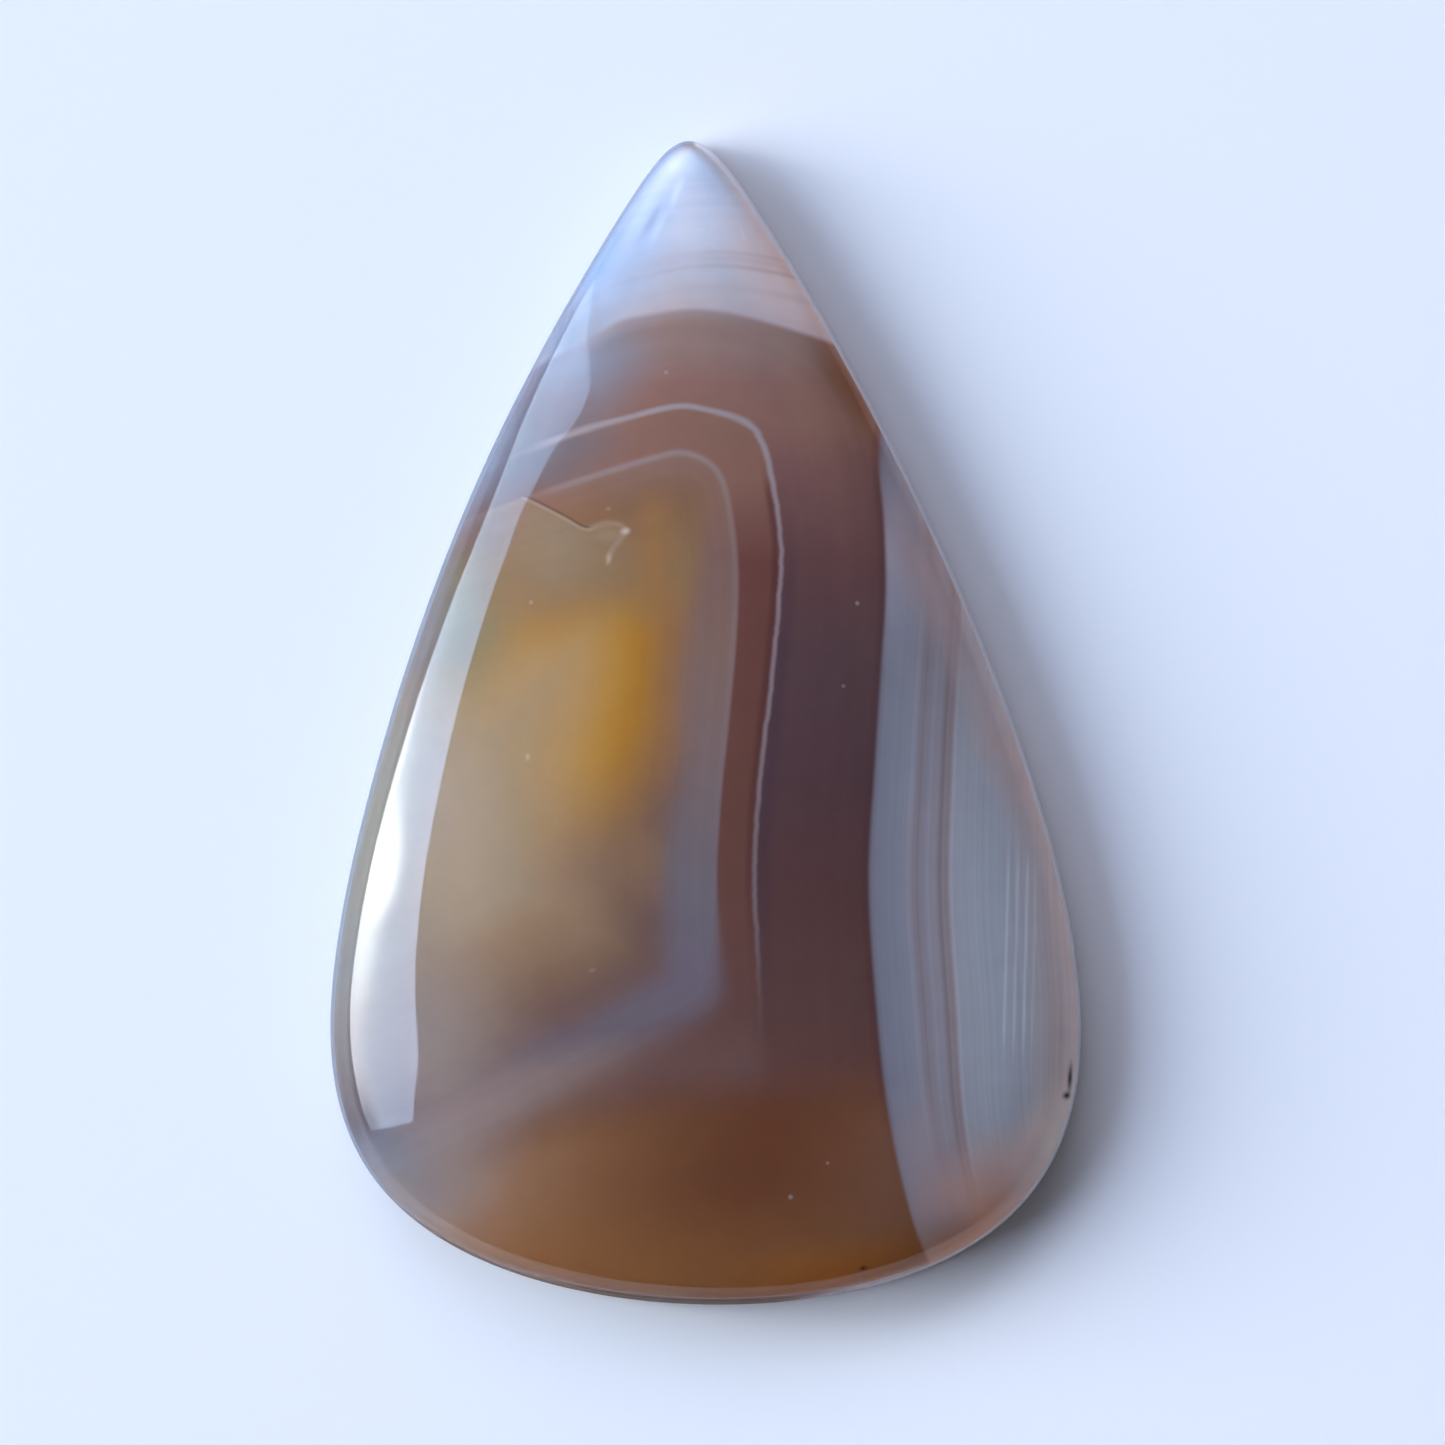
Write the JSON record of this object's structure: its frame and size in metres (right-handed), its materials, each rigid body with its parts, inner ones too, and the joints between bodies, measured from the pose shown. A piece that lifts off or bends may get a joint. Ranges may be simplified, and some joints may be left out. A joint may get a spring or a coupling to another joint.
{
  "type": "pear-shaped agate cabochon",
  "caption": "Pear-shaped cabochon of banded agate, with a flat back, a narrow back bevel, a steep edge and a low polished dome that runs out to the tip.",
  "frame": {"origin": "on the flat back, under the middle of the outline", "axes": "+Y along the stone's length, from the round butt to the tip; +Z square to the flat back, out through the polished dome; +X to the right with the tip up and the dome towards the eye"},
  "size_m": [0.0258, 0.04, 0.005],
  "materials": {
    "agate": "polished"
  },
  "bodies": {
    "root": {"agate_cabochon": "agate"}
  },
  "joints": []
}
